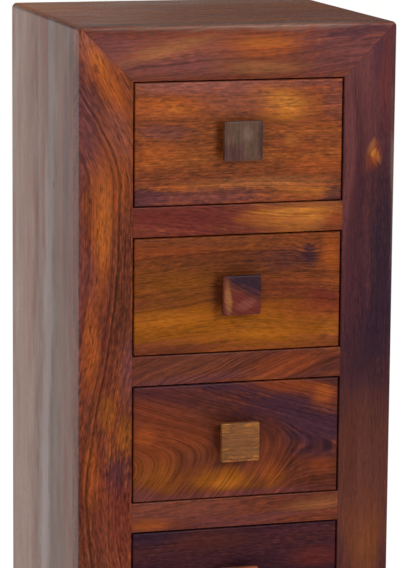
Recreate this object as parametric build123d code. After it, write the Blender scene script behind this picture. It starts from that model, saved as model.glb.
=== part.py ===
"""A tall, narrow chest of five drawers in solid rosewood, with a mitred face frame and square wooden knobs.

The case is a box of four boards mitred together along its long edges, so that no end grain shows. In front
stands a face frame: two stiles and two rails, mitred at the corners like a picture frame, with four divider
rails tenoned between the stiles. The five drawers are inset, flush with the frame. Each is a dovetailed box
that slides on a pair of wooden runners. A runner carries one drawer on its top face, guides it with its lip,
stops it with its rear block, and holds down the drawer below with its underside.

Millimetres. X runs across the front, from the left side as a person faces it, Y from the front to the back,
and Z up. The origin is on the floor, in the middle of the case's footprint.
"""

import os

from build123d import *

# The case
case_width = 300.0
case_depth = 260.0
frame_width = 50.0  # seen width of the stiles, the top rail and the bottom rail
frame_thickness = 22.0  # from the front face to the back of the face frame
panel_thickness = 20.0  # side, top and bottom boards
corner_radius = 5.0  # the long edges that run from front to back
front_arris = 2.5  # rounding round the front of the case
back_chamfer = 1.0  # broken edge round the back of the case
opening_chamfer = 1.0  # broken edge round each drawer opening

# The drawer openings, from the top: one taller opening, then equal ones
top_opening_height = 114.0
opening_height = 109.5
lower_openings = 4
divider_height = 27.5  # face rail between two drawers

# Joints of the case
tenon_length = 20.0
tenon_thickness = 8.0
tenon_shoulder = 3.0  # step from the divider's top and bottom to its tenon
tongue_thickness = 6.0  # on the boards' front edges, into the back of the face frame
tongue_length = 8.0
glue_gap = 0.1  # room for glue in every closed joint

# The back panel and its screws
back_thickness = 6.0
back_setback = 1.0  # how far the back panel lies inside the case's rear edges
rebate_width = 8.0  # how far the back panel reaches over the edges of the boards
back_screw_radius = 1.5
back_screw_head_radius = 3.2
back_screw_head_depth = 2.2
back_screw_length = 16.0
back_screw_margin = 60.0  # from the top and the bottom of the case to the nearest screw
side_screw_count = 2

# Runners
guide_play = 0.6  # between a drawer's side and the runner's lip
guide_height = 15.0
runner_inset = 1.0  # how far the bearer ends short of the drawer side's inner face
stop_length = 16.0
stop_height = 20.0
stop_play = 0.3
running_gap = 0.3  # between a drawer and the face that it slides on

# Drawers
front_recess = 0.5  # drawer front behind the face frame
front_thickness = 18.0
front_side_gap = 1.5
front_top_gap = 1.2
front_bottom_gap = 0.8
front_edge_radius = 1.6
side_thickness = 12.0
side_top_play = 3.0  # between the drawer's sides and the rail above
rear_thickness = 12.0
bottom_thickness = 5.0
bottom_rise = 8.0  # from the sides' lower edges to the groove for the bottom
groove_depth = 6.0

# Dovetails
tail_count = 3
tail_gap = 6.0  # between two tails at their tips, where the pins are narrowest
tail_slope = 1 / 6
front_lap = 5.0  # wood left in the drawer front outside the tails
fit_gap = 0.1  # between a tail and its socket, and between a screw and its recess

# Knobs and their screws
knob_size = 36.4
knob_neck = 26.0  # side of the square where the knob meets the drawer front
knob_projection = 14.0
knob_face_depth = 5.0  # straight part behind the knob's face
knob_below_top = 53.3  # from the drawer front's top edge to the knob's centre
knob_chamfer = 1.2  # round the face and down the four corners
knob_screw_radius = 2.0
knob_screw_head_radius = 4.0
knob_screw_head_height = 2.4
knob_screw_bite = 10.0  # how deep the screw goes into the knob
screw_clearance = 0.25  # radial, in the drawer front
slot_width = 1.0  # in every screw head
slot_depth = 1.0

# Places worked out from the sizes
drawer_count = lower_openings + 1
case_height = 2 * frame_width + top_opening_height + lower_openings * (opening_height + divider_height)
half_width = case_width / 2
front_y = -case_depth / 2
back_y = case_depth / 2
frame_back_y = front_y + frame_thickness
back_panel_y = back_y - back_setback - back_thickness  # the back panel's inner face
opening_half = half_width - frame_width
drawer_half = opening_half - front_side_gap
drawer_front_y = front_y + front_recess
box_front_y = drawer_front_y + front_thickness  # inner face of the drawer front
drawer_rear_y = back_panel_y - stop_length - stop_play
rear_inner_y = drawer_rear_y - rear_thickness

SIDES = {"left": -1, "right": 1}


def block(x, y, z):
    """A box between three pairs of limits."""
    size = [high - low for low, high in (x, y, z)]
    middle = [(high + low) / 2 for low, high in (x, y, z)]
    return Pos(*middle) * Box(*size)


def rod(x, z, y0, y1, radius):
    """A round bar from y0 to y1."""
    return Pos(x, (y0 + y1) / 2, z) * Cylinder(radius, y1 - y0, rotation=(90, 0, 0))


def prism_along_y(points, y0, y1):
    """The outline of (x, z) points, carried from y0 to y1."""
    outline = make_face(Polyline(*[(x, y0, z) for x, z in points], close=True))
    return extrude(outline, amount=y1 - y0, dir=(0, 1, 0))


def prism_along_x(points, x0, x1):
    """The outline of (y, z) points, carried from x0 to x1."""
    outline = make_face(Polyline(*[(x0, y, z) for y, z in points], close=True))
    return extrude(outline, amount=x1 - x0, dir=(1, 0, 0))


def corner(inset, x_sign, z_sign):
    """A corner of the case's outline seen from the front, drawn in by inset."""
    x = x_sign * (half_width - inset)
    z = inset if z_sign < 0 else case_height - inset
    return (x, z)


def mitred_strip(where, outer, inner, y0, y1):
    """One side of a picture frame between two insets of the case's outline, with a mitre at each end."""
    ends = {
        "left": [(-1, -1), (-1, 1)],
        "right": [(1, -1), (1, 1)],
        "top": [(-1, 1), (1, 1)],
        "bottom": [(-1, -1), (1, -1)],
    }[where]
    first, last = ends
    points = [corner(outer, *first), corner(outer, *last), corner(inner, *last), corner(inner, *first)]
    return prism_along_y(points, y0, y1)


def opening_levels():
    """(floor, ceiling) of each drawer opening, from the top one down."""
    levels = []
    ceiling = case_height - frame_width
    for number in range(drawer_count):
        height = top_opening_height if number == 0 else opening_height
        levels.append((ceiling - height, ceiling))
        ceiling -= height + divider_height
    return levels


def case_block():
    """The whole outside of the case, solid, with its edges rounded in front and broken at the back."""
    whole = block((-half_width, half_width), (front_y, back_y), (0, case_height))
    whole = fillet(whole.edges().filter_by(Axis.Y), corner_radius)
    whole = fillet(whole.faces().sort_by(Axis.Y)[0].edges(), front_arris)
    return chamfer(whole.faces().sort_by(Axis.Y)[-1].edges(), back_chamfer)


def tongue_ring(where, slack):
    """The tongue on a board's front edge, or, with slack, the groove that takes it."""
    inset = (panel_thickness - tongue_thickness) / 2
    return mitred_strip(
        where,
        inset - slack,
        inset + tongue_thickness + slack,
        frame_back_y - tongue_length - slack,
        frame_back_y,
    )


def back_screw_places():
    """(x, z) of each back panel screw, in the middle of the rebate in a side board."""
    x_side = half_width - panel_thickness + rebate_width / 2
    z_span = case_height - 2 * back_screw_margin
    spacing = z_span / (side_screw_count - 1)
    levels = [back_screw_margin + spacing * number for number in range(side_screw_count)]
    return [(sign * x_side, z) for z in levels for sign in SIDES.values()]


def slot(x, z, rear, radius):
    """The screwdriver slot across a screw head that ends at rear."""
    half = slot_width / 2
    return block((x - radius, x + radius), (rear - slot_depth, rear), (z - half, z + half))


def back_screw(x, z, slack=0.0):
    """A countersunk screw, flush with the back panel, or, with slack, the hole that takes it."""
    rear = back_y - back_setback
    neck = back_screw_radius + slack
    head = back_screw_head_radius + slack
    tip = rear - back_screw_length - slack
    profile = [
        (0, rear),
        (head, rear),
        (neck, rear - back_screw_head_depth),
        (neck, tip),
        (0, tip),
    ]
    outline = make_face(Polyline(*[(r, y, 0) for r, y in profile], close=True))
    screw = Pos(x, 0, z) * revolve(outline, Axis.Y)
    if slack:
        return screw
    return screw - slot(x, z, rear, back_screw_head_radius)


def carcass_board(where, whole, screw_holes):
    """A side, top or bottom board behind the face frame, with its tongue and its rebate."""
    board = whole & mitred_strip(where, 0, panel_thickness, frame_back_y, back_y)
    board += tongue_ring(where, 0)
    rebate_inset = panel_thickness - rebate_width
    board -= block(
        (-half_width + rebate_inset, half_width - rebate_inset),
        (back_panel_y, back_y),
        (rebate_inset, case_height - rebate_inset),
    )
    for hole in screw_holes:
        board -= hole
    return board


def back_panel(screw_holes):
    """The thin panel that closes the back, let into the rebate round the rear of the boards."""
    inset = panel_thickness - rebate_width + glue_gap
    panel = block(
        (-half_width + inset, half_width - inset),
        (back_panel_y, back_y - back_setback),
        (inset, case_height - inset),
    )
    for hole in screw_holes:
        panel -= hole
    return panel


def face_frame(whole):
    """The face frame before it is parted into its stiles and rails, sanded as one round its openings."""
    frame = whole & block((-half_width, half_width), (front_y, frame_back_y), (0, case_height))
    for floor, ceiling in opening_levels():
        frame -= block((-opening_half, opening_half), (front_y, frame_back_y), (floor, ceiling))
    rims = [wire.edges() for wire in frame.faces().sort_by(Axis.Y)[0].inner_wires()]
    frame = chamfer([edge for rim in rims for edge in rim], opening_chamfer)
    for where in ("left", "right", "top", "bottom"):
        frame -= tongue_ring(where, glue_gap)
    return frame


def divider_tenon(floor_above, sign, slack):
    """The tenon at one end of the divider below an opening, or, with slack, its mortise in the stile."""
    middle_y = (front_y + frame_back_y) / 2
    reach = sorted([sign * opening_half, sign * (opening_half + tenon_length + slack)])
    return block(
        reach,
        (middle_y - tenon_thickness / 2 - slack, middle_y + tenon_thickness / 2 + slack),
        (floor_above - divider_height + tenon_shoulder - slack, floor_above - tenon_shoulder + slack),
    )


def stile(side, frame):
    """An upright of the face frame, mitred at both ends, with a mortise for each divider rail."""
    upright = frame & mitred_strip(side, 0, frame_width, front_y, frame_back_y)
    for floor, _ in opening_levels()[:-1]:
        upright -= divider_tenon(floor, SIDES[side], glue_gap)
    return upright


def divider_rail(frame, floor_above):
    """The rail between two drawers, with a tenon at each end."""
    rail = frame & block(
        (-opening_half, opening_half),
        (front_y, frame_back_y),
        (floor_above - divider_height, floor_above),
    )
    for sign in SIDES.values():
        rail += divider_tenon(floor_above, sign, 0)
    return rail


def runner(side, floor, bearer_height):
    """A rebated bearer with its guide lip and its rear stop, glued to the side board."""
    sign = SIDES[side]
    board_x = half_width - panel_thickness
    bearer_x = drawer_half - side_thickness + runner_inset
    lip_x = drawer_half + guide_play
    bearer = [
        (sign * bearer_x, floor - bearer_height),
        (sign * board_x, floor - bearer_height),
        (sign * board_x, floor + guide_height),
        (sign * lip_x, floor + guide_height),
        (sign * lip_x, floor),
        (sign * bearer_x, floor),
    ]
    piece = prism_along_y(bearer, frame_back_y, back_panel_y)
    stop_x = sorted([sign * bearer_x, sign * board_x])
    return piece + block(stop_x, (back_panel_y - stop_length, back_panel_y), (floor, floor + stop_height))


def top_kickers():
    """The pair of strips under the top board that keep the highest drawer from tipping when it is out."""
    bearer_x = drawer_half - side_thickness + runner_inset
    board_x = half_width - panel_thickness
    y = (frame_back_y, back_panel_y)
    z = (case_height - frame_width, case_height - panel_thickness)
    return Compound(children=[block(sorted([s * bearer_x, s * board_x]), y, z) for s in SIDES.values()])


def tails(low, high, base_y, tip_y, x_limits, slack=0.0):
    """The tails between two heights on the end of a drawer side. They widen from base_y to tip_y."""
    pitch = (high - low) / tail_count
    outward = 1 if tip_y > base_y else -1
    tip = tip_y + outward * slack
    half_tip = (pitch - tail_gap) / 2 + slack
    half_base = half_tip - abs(tip - base_y) * tail_slope
    shapes = []
    for number in range(tail_count):
        middle = low + pitch * (number + 0.5)
        outline = [
            (base_y, middle - half_base),
            (base_y, middle + half_base),
            (tip, middle + half_tip),
            (tip, middle - half_tip),
        ]
        shapes.append(prism_along_x(outline, x_limits[0] - slack, x_limits[1] + slack))
    return shapes


def tapered_block(half, neck_half):
    """A square block on the drawer front at z = 0, straight behind its face and then tapering to its neck."""
    face_y = drawer_front_y - knob_projection
    shoulder_y = face_y + knob_face_depth
    outline = [
        (face_y, -half),
        (face_y, half),
        (shoulder_y, half),
        (drawer_front_y, neck_half),
        (drawer_front_y, -neck_half),
        (shoulder_y, -half),
    ]
    upright = prism_along_x(outline, -half, half)
    return upright & Rot(0, 90, 0) * upright


def diagonal_half(size):
    """Half the size of the square, turned by 45 degrees, that breaks the corners of a square of this size."""
    return (size - knob_chamfer) / 2**0.5


class Drawer:
    """The sizes and pieces of one drawer, in the opening between floor and ceiling."""

    def __init__(self, floor, ceiling):
        self.side_low = floor + running_gap
        self.side_high = ceiling - side_top_play
        self.front_low = floor + front_bottom_gap
        self.front_high = ceiling - front_top_gap
        self.groove_low = self.side_low + bottom_rise
        self.groove_high = self.groove_low + bottom_thickness
        self.knob_z = self.front_high - knob_below_top

    def side_x(self, side, slack=0.0):
        """Inner and outer limits of a side board."""
        sign = SIDES[side]
        return sorted([sign * (drawer_half - side_thickness - slack), sign * drawer_half])

    def front_tails(self, side, slack=0.0):
        tip = drawer_front_y + front_lap
        return tails(self.side_low, self.side_high, box_front_y, tip, self.side_x(side), slack)

    def rear_tails(self, side, slack=0.0):
        return tails(self.groove_high, self.side_high, rear_inner_y, drawer_rear_y, self.side_x(side), slack)

    def groove(self, x, y, slack):
        """Room for the bottom panel."""
        return block(x, y, (self.groove_low - slack, self.groove_high + slack))

    def bottom_half_width(self):
        return drawer_half - side_thickness + groove_depth - glue_gap

    def side(self, side):
        """A side board: half-blind tails in front, through tails at the rear, and a groove for the bottom."""
        x = self.side_x(side)
        board = block(x, (box_front_y, rear_inner_y), (self.side_low, self.side_high))
        board += block(x, (rear_inner_y, drawer_rear_y), (self.side_low, self.groove_high))
        for tail in self.front_tails(side) + self.rear_tails(side):
            board += tail
        sign = SIDES[side]
        inner = drawer_half - side_thickness
        groove_x = sorted([sign * inner, sign * (inner + groove_depth)])
        board -= self.groove(groove_x, (drawer_front_y, drawer_rear_y), glue_gap)
        return board

    def front(self):
        """The drawer front, with sockets for the tails, a groove for the bottom and the screw hole."""
        y = (drawer_front_y, box_front_y)
        board = block((-drawer_half, drawer_half), y, (self.front_low, self.front_high))
        board = fillet(board.faces().sort_by(Axis.Y)[0].edges(), front_edge_radius)
        for side in SIDES:
            for socket in self.front_tails(side, fit_gap):
                board -= socket
        groove_y = (box_front_y - groove_depth, box_front_y)
        half = self.bottom_half_width() + glue_gap
        board -= self.groove((-half, half), groove_y, glue_gap)
        hole = rod(0, self.knob_z, drawer_front_y, box_front_y, knob_screw_radius + screw_clearance)
        return board - hole

    def rear(self):
        """The rear board, standing on the bottom panel, with its ends cut into pins."""
        board = block(
            (-drawer_half, drawer_half),
            (rear_inner_y, drawer_rear_y),
            (self.groove_high + glue_gap, self.side_high),
        )
        for side in SIDES:
            for socket in self.rear_tails(side, fit_gap):
                board -= socket
        return board

    def bottom(self):
        """The thin bottom panel, slid into its grooves from the rear."""
        half = self.bottom_half_width()
        y = (box_front_y - groove_depth + glue_gap, drawer_rear_y)
        return self.groove((-half, half), y, 0)

    def knob(self):
        """A square knob: a flat face with broken edges, tapering behind to a smaller neck."""
        corner_cut = tapered_block(diagonal_half(knob_size), diagonal_half(knob_neck))
        whole = tapered_block(knob_size / 2, knob_neck / 2) & Rot(0, 45, 0) * corner_cut
        whole = Pos(0, 0, self.knob_z) * whole
        whole = chamfer(whole.faces().sort_by(Axis.Y)[0].edges(), knob_chamfer)
        pilot_end = drawer_front_y - knob_screw_bite - fit_gap
        return whole - rod(0, self.knob_z, pilot_end, drawer_front_y, knob_screw_radius + fit_gap)

    def knob_screw(self):
        """A pan-headed wood screw from inside the drawer, through the front and into the knob."""
        crown_y = box_front_y + knob_screw_head_height
        head = rod(0, self.knob_z, box_front_y, crown_y, knob_screw_head_radius)
        head -= slot(0, self.knob_z, crown_y, knob_screw_head_radius)
        return head + rod(0, self.knob_z, drawer_front_y - knob_screw_bite, box_front_y, knob_screw_radius)

    def pieces(self, number):
        """Node name and shape of each piece."""
        return {
            f"drawer_{number}_front": self.front(),
            f"drawer_{number}_side_left": self.side("left"),
            f"drawer_{number}_side_right": self.side("right"),
            f"drawer_{number}_rear": self.rear(),
            f"drawer_{number}_bottom": self.bottom(),
            f"drawer_{number}_knob": self.knob(),
            f"drawer_{number}_knob_screw": self.knob_screw(),
        }


def case_pieces():
    """Node name and shape of each piece of the case."""
    whole = case_block()
    frame = face_frame(whole)
    places = back_screw_places()
    screw_holes = [back_screw(x, z, fit_gap) for x, z in places]
    pieces = {
        "side_board_left": carcass_board("left", whole, screw_holes),
        "side_board_right": carcass_board("right", whole, screw_holes),
        "top_board": carcass_board("top", whole, screw_holes),
        "bottom_board": carcass_board("bottom", whole, screw_holes),
        "back_panel": back_panel(screw_holes),
        "back_panel_screws": Compound(children=[back_screw(x, z) for x, z in places]),
        "stile_left": stile("left", frame),
        "stile_right": stile("right", frame),
        "top_rail": frame & mitred_strip("top", 0, frame_width, front_y, frame_back_y),
        "bottom_rail": frame & mitred_strip("bottom", 0, frame_width, front_y, frame_back_y),
        "top_kickers": top_kickers(),
    }
    levels = opening_levels()
    for number, (floor, _) in enumerate(levels, 1):
        lowest = number == drawer_count
        if not lowest:
            pieces[f"divider_rail_{number}"] = divider_rail(frame, floor)
        bearer_height = frame_width - panel_thickness if lowest else divider_height
        for side in SIDES:
            pieces[f"runner_{side}_{number}"] = runner(side, floor, bearer_height)
    return pieces


def main():
    os.makedirs("parts", exist_ok=True)
    pieces = case_pieces()
    for number, (floor, ceiling) in enumerate(opening_levels(), 1):
        pieces.update(Drawer(floor, ceiling).pieces(number))
    for name, shape in pieces.items():
        export_step(shape, f"parts/{name}.step")
    print(f"{len(pieces)} pieces, case {case_width:g} x {case_depth:g} x {case_height:g} mm")


main()
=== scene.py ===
# %% [markdown]
# # A rosewood chest of drawers
#
# The chest stands in one frame that was measured and jointed beforehand. Its drawers, runners and dovetails
# come with it and keep their places. What is made here is what the eye meets: the show wood with its
# softened edges and fine joint lines, the square knobs, and every finish, from lacquered rosewood to plywood.
#
# Rosewood of this kind is bought for its figure. Dark purple heartwood and golden streaks lie side by side,
# and no two boards match. So each board gets a material of its own, made by one function from a few
# words about that board: how its grain runs, where a branch bends it, and where it turns dark or gold.

# %% Load the frame
import math

import bpy
import numpy as np
from mathutils import Matrix, Vector


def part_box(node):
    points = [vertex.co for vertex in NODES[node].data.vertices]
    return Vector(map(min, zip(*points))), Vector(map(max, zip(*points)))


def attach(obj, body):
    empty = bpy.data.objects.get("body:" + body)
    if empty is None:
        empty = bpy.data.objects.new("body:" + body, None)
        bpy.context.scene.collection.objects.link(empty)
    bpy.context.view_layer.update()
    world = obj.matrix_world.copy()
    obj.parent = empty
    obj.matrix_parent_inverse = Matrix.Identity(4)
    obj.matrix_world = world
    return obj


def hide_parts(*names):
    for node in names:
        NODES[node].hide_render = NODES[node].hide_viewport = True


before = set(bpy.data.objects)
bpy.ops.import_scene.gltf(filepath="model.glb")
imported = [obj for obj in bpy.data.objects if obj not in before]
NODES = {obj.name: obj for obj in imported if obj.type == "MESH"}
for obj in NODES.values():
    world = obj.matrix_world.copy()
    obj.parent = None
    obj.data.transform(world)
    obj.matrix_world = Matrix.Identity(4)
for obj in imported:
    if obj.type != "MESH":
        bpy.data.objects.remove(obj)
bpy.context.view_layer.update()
MM = 0.001

# %% [markdown]
# ## Sizes
#
# Nothing is measured twice. The outer sizes of the case and the boards are read from the frame, so the new
# surfaces land exactly where the solid ones are. Only the small roundings, which a cabinetmaker gives
# with a plane and sandpaper, are named here.

# %% Read the sizes of the case from its boards
stile_low, stile_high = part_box("stile_left")
board_low, board_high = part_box("side_board_left")
HALF_WIDTH = -stile_low.x
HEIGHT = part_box("top_rail")[1].z
FRONT = stile_low.y
FRAME_BACK = stile_high.y
BACK = board_high.y
FRAME_WIDTH = stile_high.x - stile_low.x
BOARD = board_high.x - board_low.x
PANEL_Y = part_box("back_panel")[0].y
REBATE = 8 * MM
CORNER_RADIUS = 5 * MM
FRONT_ARRIS = 2.5 * MM
BACK_EDGE = 1 * MM
print("case", round(2 * HALF_WIDTH, 4), round(BACK - FRONT, 4), round(HEIGHT, 4))

# %% Read the drawer openings from the divider rails
DRAWERS = range(1, 6)
dividers = [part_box(f"divider_rail_{number}") for number in range(1, 5)]
ceilings = [HEIGHT - FRAME_WIDTH] + [low.z for low, high in dividers]
floors = [high.z for low, high in dividers] + [FRAME_WIDTH]
OPENINGS = list(zip(floors, ceilings))
print("openings", [(round(low, 4), round(high, 4)) for low, high in OPENINGS])

# %% [markdown]
# ## The camera
#
# The picture was taken from a little to the left of the chest and from above its top, with a long lens, so
# the upright edges stay almost parallel. Position, turn and focal length were worked out from the corners of
# the case and of the drawer openings. Blender measures a lens against the longer side of the picture, which
# is its height here.

# %% Set up the camera
IMAGE_HEIGHT = 568
SENSOR = 36.0
FOCAL_PIXELS = 3141.4
FARTHEST_SEEN = 100
CAMERA_PLACE = (-0.8509, -2.8267, 1.0218)
HEADING, TILT, ROLL, UPRIGHT = (math.radians(angle) for angle in (-16.880, -9.984, -0.495, 90))

lens = bpy.data.cameras.new("camera")
lens.sensor_width = SENSOR
lens.lens = FOCAL_PIXELS / IMAGE_HEIGHT * SENSOR
lens.clip_end = FARTHEST_SEEN
camera = bpy.data.objects.new("camera", lens)
bpy.context.scene.collection.objects.link(camera)
turn = Matrix.Rotation(HEADING, 4, "Z") @ Matrix.Rotation(TILT, 4, "X") @ Matrix.Rotation(ROLL, 4, "Y")
camera.matrix_world = Matrix.Translation(CAMERA_PLACE) @ turn @ Matrix.Rotation(UPRIGHT, 4, "X")
bpy.context.scene.camera = camera
print("lens", round(lens.lens, 1), "mm")

# %% [markdown]
# ## Node helpers
#
# Every finish is a small network of shader nodes. These helpers keep the networks readable: one makes a node
# and connects whatever it is given, the others are arithmetic, soft steps and colours in one line each.

# %% Helpers for building node trees
def new_tree(owner):
    """The emptied node tree of a material or a world."""
    owner.use_nodes = True
    owner.node_tree.nodes.clear()
    return owner.node_tree


def new_material(name):
    """A new material and its emptied node tree."""
    material = bpy.data.materials.new(name)
    return material, new_tree(material)


def node(tree, kind, inputs=None, **settings):
    """A new node of the type "ShaderNode" + kind. Each input, by name or number, is a constant or another
    node's output."""
    made = tree.nodes.new("ShaderNode" + kind)
    for key, value in settings.items():
        setattr(made, key, value)
    for key, value in (inputs or {}).items():
        if isinstance(value, bpy.types.NodeSocket):
            tree.links.new(value, made.inputs[key])
        else:
            made.inputs[key].default_value = value
    return made


def maths(tree, operation, *values):
    """One step of arithmetic on numbers or sockets."""
    return node(tree, "Math", dict(enumerate(values)), operation=operation).outputs[0]


def add_up(tree, start, patterns, weights):
    """start, plus each pattern that weights names times its weight."""
    for name, weight in weights.items():
        start = maths(tree, "MULTIPLY_ADD", patterns[name], weight, start)
    return start


def soft_step(tree, value, start, end, low=0.0, high=1.0):
    """Goes smoothly from low to high as value goes from start to end."""
    inputs = {"Value": value, "From Min": start, "From Max": end, "To Min": low, "To Max": high}
    return node(tree, "MapRange", inputs, interpolation_type="SMOOTHSTEP").outputs["Result"]


def surface_of(tree, shader):
    """Makes a shader the material's surface."""
    node(tree, "OutputMaterial", {"Surface": shader.outputs[0]})


print("materials that came with the frame:", len(bpy.data.materials))

# %% Helpers for colours
def blend(tree, amount, first, second, mode="MIX"):
    """Two colours laid over each other."""
    made = node(tree, "Mix", {0: amount, 6: first, 7: second}, data_type="RGBA", blend_type=mode)
    return made.outputs[2]


def shaded(tree, colour, light):
    """A colour times a brightness."""
    grey = node(tree, "CombineColor", {0: light, 1: light, 2: light}).outputs[0]
    return blend(tree, 1.0, colour, grey, "MULTIPLY")


def linear(red, green, blue):
    """A colour in the screen's 0 to 255 steps, as the linear values that a shader needs: the share of 255,
    over 12.92 where it is tiny, and elsewhere plus 0.055, over 1.055, to the power 2.4."""
    share = np.array([red, green, blue]) / 255
    curve = np.where(share <= 0.04045, share / 12.92, ((share + 0.055) / 1.055) ** 2.4)
    return (*curve.tolist(), 1.0)


print("middle grey in a shader:", round(linear(128, 128, 128)[0], 3))

# %% [markdown]
# ## Floor
#
# The chest stands on a wide sheet of pale paper that glows a little, so that it stays white. The sheet is
# clear from below and lies a hair under the chest, so that the underside can be looked at too.

# %% Floor
def lying(left, right, near, far, height):
    """The corners of a rectangle that lies level."""
    return [(left, near, height), (right, near, height), (right, far, height), (left, far, height)]


def flat_object(name, corners, material):
    """A flat rectangle of the stage with one material."""
    mesh = bpy.data.meshes.new(name)
    mesh.from_pydata(corners, [], [(0, 1, 2, 3)])
    mesh.materials.append(material)
    made = bpy.data.objects.new(name, mesh)
    bpy.context.scene.collection.objects.link(made)
    return made


FLOOR_REACH = 40.0
FLOOR_LEVEL = -0.1 * MM
PAPER = linear(245, 245, 244)
PAPER_GLOW = 0.5
floor_paper, tree = new_material("floor_paper")
sheet = node(tree, "BsdfPrincipled", {
    "Base Color": PAPER, "Roughness": 0.9, "Specular IOR Level": 0.0,
    "Emission Color": (1, 1, 1, 1), "Emission Strength": PAPER_GLOW,
})
underside = node(tree, "NewGeometry").outputs["Backfacing"]
clear = node(tree, "BsdfTransparent")
surface_of(tree, node(tree, "MixShader", {0: underside, 1: sheet.outputs[0], 2: clear.outputs[0]}))
flat_object("floor", lying(-FLOOR_REACH, FLOOR_REACH, -FLOOR_REACH, FLOOR_REACH, FLOOR_LEVEL), floor_paper)
print("floor", 2 * FLOOR_REACH, "m wide")

# %% [markdown]
# ## Dark cards
#
# Lacquer mirrors its surroundings most strongly at a glancing angle, so the left side takes a pale veil from
# the bright floor behind it; part of that veil is also painted into the left side's colour as a greyer back.
# Dark cards, seen by reflections only, keep that veil off the top and the front, as photographers do it with
# black cloth.

# %% Dark cards for reflections
def standing(left, right, back, low, high):
    """The corners of a rectangle that stands and faces the front."""
    return [(left, back, low), (right, back, low), (right, back, high), (left, back, high)]


def dark_card(name, corners, brightness):
    """A card that only reflections see."""
    material, tree = new_material(name)
    surface_of(tree, node(tree, "Emission", {"Color": CARD_COLOUR, "Strength": brightness}))
    made = flat_object(name, corners, material)
    made.visible_camera = False
    made.visible_diffuse = False
    made.visible_shadow = False
    made.visible_transmission = False


CARD_COLOUR = (1.0, 0.92, 0.88, 1)
CARD_LEVEL = 2 * MM
CARD_BACK, CARD_LOW, CARD_HIGH, CARD_MEETING = 4, 1.0, 6, 1.1
dark_card("card_behind_left", standing(-5, CARD_MEETING, CARD_BACK, CARD_LOW, CARD_HIGH), 0.22)
dark_card("card_behind_right", standing(CARD_MEETING, 8, CARD_BACK, CARD_LOW, CARD_HIGH), 0.08)
dark_card("card_beside", lying(-9, -0.2, 0.3, 12, CARD_LEVEL), 0.7)
dark_card("card_in_front", lying(-2.5, 6, -6, -0.4, CARD_LEVEL), 0.10)

# %% [markdown]
# ## Light
#
# One large lamp in front, to the right and a little above, throws the short shadows of the knobs to the left.
# The world gives an even light from all round.

# %% Lamp and world
LAMP_SIZE = 0.7
LAMP_WATTS = 22
LAMP_COLOUR = (1.0, 0.97, 0.93)
LAMP_AIM = Vector((0.0, -0.13, 0.5))
LAMP_WAY = Vector((0.30, -1.0, 0.42)).normalized()
LAMP_DISTANCE = 2.6
SKY_STRENGTH = 0.55

lamp = bpy.data.lights.new("key_lamp", "AREA")
lamp.shape = "SQUARE"
lamp.size = LAMP_SIZE
lamp.energy = LAMP_WATTS
lamp.color = LAMP_COLOUR
lamp_object = bpy.data.objects.new("key_lamp", lamp)
bpy.context.scene.collection.objects.link(lamp_object)
lamp_object.location = LAMP_AIM + LAMP_WAY * LAMP_DISTANCE
lamp_object.rotation_euler = (-LAMP_WAY).to_track_quat("-Z", "Y").to_euler()

world = bpy.data.worlds.new("studio")
bpy.context.scene.world = world
tree = new_tree(world)
sky = node(tree, "Background", {"Color": (1.0, 1.0, 1.0, 1), "Strength": SKY_STRENGTH})
node(tree, "OutputWorld", {"Surface": sky.outputs[0]})
bpy.context.scene.view_settings.view_transform = "Standard"
print("lamp at", [round(v, 2) for v in lamp_object.location], "of", lamp.energy, "W")

# %% [markdown]
# ## Skins from rings
#
# A board is a section carried along a path: at each step the section is a closed ring of points. If all the
# rings have the same number of points, the whole skin is one array, and neighbouring points are joined by
# four-cornered faces. That keeps every wave and rounding under the control of plain formulas.

# %% Turn rings of points into a closed piece
SHARP = math.radians(32)


def ring_faces(rows, columns):
    """Faces between neighbouring rows of closed rings, and a flat face on the first and the last ring."""
    index = np.arange(rows * columns).reshape(rows, columns)
    beside = np.roll(index, -1, axis=1)
    quads = np.stack([index[:-1], beside[:-1], beside[1:], index[1:]], axis=-1)
    return quads.reshape(-1, 4).tolist() + [index[0, ::-1].tolist(), index[-1].tolist()]


def piece_from_rings(replaced, rings, body, material):
    """Puts the array (rows, columns, 3) into a mesh that stands for a CAD node. The volume, a sixth of the
    sum of a . (b x c) over the corners a, b, c of all triangles, tells which way the faces look."""
    name = replaced + "_show"
    rows, columns, _ = rings.shape
    mesh = bpy.data.meshes.new(name)
    mesh.from_pydata(rings.reshape(-1, 3).tolist(), [], ring_faces(rows, columns))
    mesh.calc_loop_triangles()
    corners = np.empty(len(mesh.loop_triangles) * 3, int)
    mesh.loop_triangles.foreach_get("vertices", corners)
    a, b, c = rings.reshape(-1, 3)[corners].reshape(-1, 3, 3).transpose(1, 0, 2)
    volume = np.einsum("ij,ij->", a, np.cross(b, c)) / 6
    if volume < 0:
        mesh.flip_normals()
    mesh.shade_smooth()
    mesh.set_sharp_from_angle(angle=SHARP)
    mesh.materials.append(material)
    made = bpy.data.objects.new(name, mesh)
    bpy.context.scene.collection.objects.link(made)
    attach(made, body)
    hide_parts(replaced)
    print(f"{name}: {len(mesh.loop_triangles)} triangles, {abs(volume) * 1e6:.1f} cm3")


print("3 rings of 4 points have", len(ring_faces(3, 4)), "faces")

# %% [markdown]
# ## Rosewood
#
# A plank shows the tree's yearly layers as lines. If the tree were a perfect cylinder, they would be straight
# and even. Real fibres wander, and where a branch grew they flow round it. The material copies this: it
# starts with the distance across the grain, shifts it by slow noise and by the branches, and reads bands of
# colour and thin dark lines off the result. Zones of heartwood and sapwood colour follow the same shifted
# fibres, so their edges run with the grain.
#
# All of it is in millimetres of the piece's own coordinates, so a drawer keeps its figure as it slides.

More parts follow.
